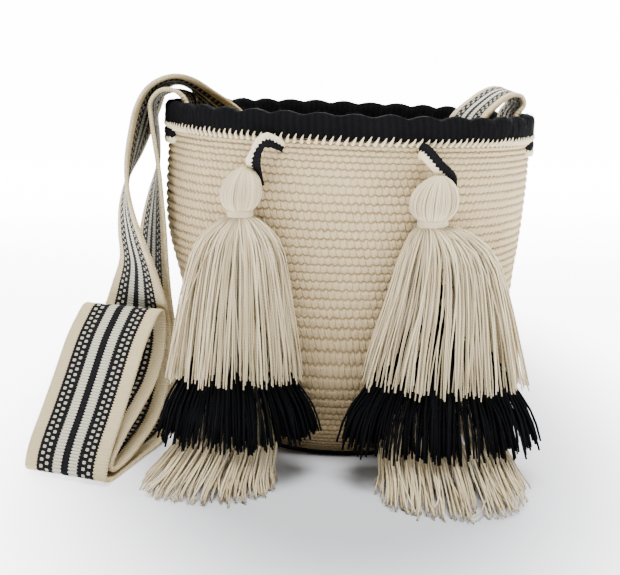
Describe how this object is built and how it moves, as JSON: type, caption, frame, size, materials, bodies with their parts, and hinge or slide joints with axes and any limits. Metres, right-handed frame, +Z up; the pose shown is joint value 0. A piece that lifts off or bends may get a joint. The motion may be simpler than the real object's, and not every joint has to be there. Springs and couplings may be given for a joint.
{
  "type": "crocheted mochila bag",
  "caption": "Crocheted bucket bag with a scalloped rim, woven shoulder strap, drawstring closure and layered yarn tassels.",
  "frame": {"origin": "centre of the base disc's underside, on the surface that the bag stands on", "axes": "+Z up through the mouth, -Y towards the front with the tassels, -X towards the folded strap"},
  "size_m": [0.3558, 0.2855, 0.2634],
  "materials": {
    "natural_cotton": "matte crochet",
    "black_cotton": "matte fuzzy yarn",
    "tassel_cotton": "plied yarn",
    "two_tone_cord": "crocheted cord",
    "woven_band": "woven band with stripes"
  },
  "bodies": {
    "bag": {"base_disc": "black_cotton", "bag_wall": "natural_cotton", "rim_edging": "black_cotton", "drawstring": "two_tone_cord", "strap": "woven_band"},
    "left_tassel": {"left_upper_tassel": "tassel_cotton", "left_upper_binding": "tassel_cotton", "left_middle_tassel": "black_cotton", "left_middle_binding": "black_cotton", "left_lower_tassel": "tassel_cotton", "left_lower_binding": "tassel_cotton"},
    "right_tassel": {"right_upper_tassel": "tassel_cotton", "right_upper_binding": "tassel_cotton", "right_middle_tassel": "black_cotton", "right_middle_binding": "black_cotton", "right_lower_tassel": "tassel_cotton", "right_lower_binding": "tassel_cotton"}
  },
  "joints": [
    {"name": "left_tassel_swing", "type": "hinge", "parent": "bag", "child": "left_tassel", "pos_m": [-0.066, -0.1095, 0.213], "axis": [-1, 0, 0], "range_deg": [0, 80]},
    {"name": "right_tassel_swing", "type": "hinge", "parent": "bag", "child": "right_tassel", "pos_m": [0.0485, -0.1125, 0.208], "axis": [-1, 0, 0], "range_deg": [0, 80]}
  ]
}
